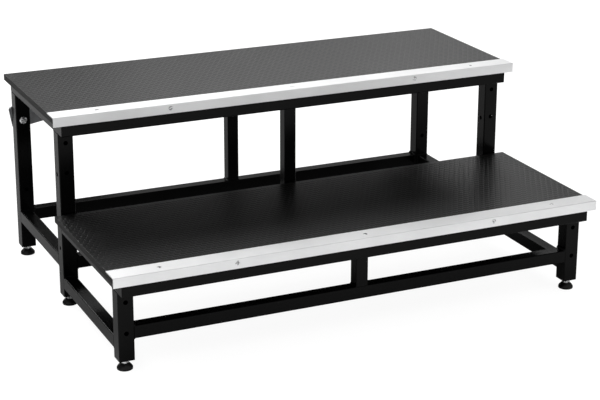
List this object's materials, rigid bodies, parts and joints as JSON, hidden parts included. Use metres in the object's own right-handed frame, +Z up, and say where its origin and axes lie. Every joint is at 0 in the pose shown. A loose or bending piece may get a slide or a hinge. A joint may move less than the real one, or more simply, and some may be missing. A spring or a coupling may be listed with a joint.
{
  "type": "stage stairs",
  "caption": "Wide, low stage stairs: black steel tube stand, film-faced decks with aluminium nosings, levelling feet and swivel clamp plates at the rear.",
  "frame": {"origin": "centre of the stand's outline on the floor, under the feet", "axes": "+X runs along the nosings, +Y points from the lower step to the rear, +Z is up"},
  "size_m": [1, 0.7076, 0.396],
  "materials": {
    "powder_coat": "satin black powder coat on steel",
    "deck_film": "plywood faced with black hexagon-patterned anti-slip film",
    "aluminium": "satin mill finish",
    "zinc": "bright zinc plate",
    "plate_zinc": "dull zinc plate",
    "foot_plastic": "moulded black nylon"
  },
  "bodies": {
    "stand": {"lower_deck_panel": "deck_film", "upper_deck_panel": "deck_film", "lower_nosing": "aluminium", "upper_nosing": "aluminium", "lower_tread_screw_1": "zinc", "lower_tread_screw_2": "zinc", "lower_tread_screw_3": "zinc", "lower_front_screw_1": "zinc", "lower_front_screw_2": "zinc", "upper_tread_screw_1": "zinc", "upper_tread_screw_2": "zinc", "upper_tread_screw_3": "zinc", "upper_front_screw_1": "zinc", "upper_front_screw_2": "zinc", "lower_frame_front": "powder_coat", "lower_frame_right": "powder_coat", "lower_frame_rear": "powder_coat", "lower_frame_left": "powder_coat", "lower_frame_bearer": "powder_coat", "upper_frame_front": "powder_coat", "upper_frame_right": "powder_coat", "upper_frame_rear": "powder_coat", "upper_frame_left": "powder_coat", "upper_frame_bearer": "powder_coat", "front_left_leg": "powder_coat", "front_right_leg": "powder_coat", "middle_left_leg": "powder_coat", "middle_right_leg": "powder_coat", "rear_left_leg": "powder_coat", "rear_right_leg": "powder_coat", "front_left_rail": "powder_coat", "front_right_rail": "powder_coat", "rear_left_rail": "powder_coat", "rear_right_rail": "powder_coat", "front_cross_rail": "powder_coat", "middle_cross_rail": "powder_coat", "rear_cross_rail": "powder_coat", "front_strut": "powder_coat", "middle_strut": "powder_coat", "rear_strut": "powder_coat", "left_clamp_bolt": "zinc", "right_clamp_bolt": "zinc", "left_clamp_nut": "zinc", "right_clamp_nut": "zinc"},
    "front_left_pad": {"front_left_foot_pad": "foot_plastic"},
    "front_right_pad": {"front_right_foot_pad": "foot_plastic"},
    "middle_left_pad": {"middle_left_foot_pad": "foot_plastic"},
    "middle_right_pad": {"middle_right_foot_pad": "foot_plastic"},
    "rear_left_pad": {"rear_left_foot_pad": "foot_plastic"},
    "rear_right_pad": {"rear_right_foot_pad": "foot_plastic"},
    "front_left_stud": {"front_left_foot_stud": "zinc"},
    "front_right_stud": {"front_right_foot_stud": "zinc"},
    "middle_left_stud": {"middle_left_foot_stud": "zinc"},
    "middle_right_stud": {"middle_right_foot_stud": "zinc"},
    "rear_left_stud": {"rear_left_foot_stud": "zinc"},
    "rear_right_stud": {"rear_right_foot_stud": "zinc"},
    "left_plate": {"left_clamp_plate": "plate_zinc"},
    "right_plate": {"right_clamp_plate": "plate_zinc"}
  },
  "joints": [
    {"name": "front_left_foot_height", "type": "slide", "parent": "stand", "child": "front_left_pad", "axis": [0, 0, -1], "range_m": [0, 0.02]},
    {"name": "front_left_foot_turn", "type": "hinge", "parent": "front_left_pad", "child": "front_left_stud", "pos_m": [-0.4685, -0.3083, 0], "axis": [0, 0, -1], "range_deg": [0, 5760]},
    {"name": "front_right_foot_height", "type": "slide", "parent": "stand", "child": "front_right_pad", "axis": [0, 0, -1], "range_m": [0, 0.02]},
    {"name": "front_right_foot_turn", "type": "hinge", "parent": "front_right_pad", "child": "front_right_stud", "pos_m": [0.4685, -0.3083, 0], "axis": [0, 0, -1], "range_deg": [0, 5760]},
    {"name": "middle_left_foot_height", "type": "slide", "parent": "stand", "child": "middle_left_pad", "axis": [0, 0, -1], "range_m": [0, 0.02]},
    {"name": "middle_left_foot_turn", "type": "hinge", "parent": "middle_left_pad", "child": "middle_left_stud", "pos_m": [-0.4685, 0.0227, 0], "axis": [0, 0, -1], "range_deg": [0, 5760]},
    {"name": "middle_right_foot_height", "type": "slide", "parent": "stand", "child": "middle_right_pad", "axis": [0, 0, -1], "range_m": [0, 0.02]},
    {"name": "middle_right_foot_turn", "type": "hinge", "parent": "middle_right_pad", "child": "middle_right_stud", "pos_m": [0.4685, 0.0227, 0], "axis": [0, 0, -1], "range_deg": [0, 5760]},
    {"name": "rear_left_foot_height", "type": "slide", "parent": "stand", "child": "rear_left_pad", "axis": [0, 0, -1], "range_m": [0, 0.02]},
    {"name": "rear_left_foot_turn", "type": "hinge", "parent": "rear_left_pad", "child": "rear_left_stud", "pos_m": [-0.4685, 0.3222, 0], "axis": [0, 0, -1], "range_deg": [0, 5760]},
    {"name": "rear_right_foot_height", "type": "slide", "parent": "stand", "child": "rear_right_pad", "axis": [0, 0, -1], "range_m": [0, 0.02]},
    {"name": "rear_right_foot_turn", "type": "hinge", "parent": "rear_right_pad", "child": "rear_right_stud", "pos_m": [0.4685, 0.3222, 0], "axis": [0, 0, -1], "range_deg": [0, 5760]},
    {"name": "left_plate_swivel", "type": "hinge", "parent": "stand", "child": "left_plate", "pos_m": [-0.4685, 0.34, 0.2985], "axis": [0, 1, 0], "continuous": true},
    {"name": "right_plate_swivel", "type": "hinge", "parent": "stand", "child": "right_plate", "pos_m": [0.4685, 0.34, 0.2985], "axis": [0, 1, 0], "continuous": true}
  ],
  "couplings": [
    {"joint": "front_left_foot_turn", "follows": "front_left_foot_height", "rad_per_m": 5026.5},
    {"joint": "front_right_foot_turn", "follows": "front_right_foot_height", "rad_per_m": 5026.5},
    {"joint": "middle_left_foot_turn", "follows": "middle_left_foot_height", "rad_per_m": 5026.5},
    {"joint": "middle_right_foot_turn", "follows": "middle_right_foot_height", "rad_per_m": 5026.5},
    {"joint": "rear_left_foot_turn", "follows": "rear_left_foot_height", "rad_per_m": 5026.5},
    {"joint": "rear_right_foot_turn", "follows": "rear_right_foot_height", "rad_per_m": 5026.5}
  ]
}
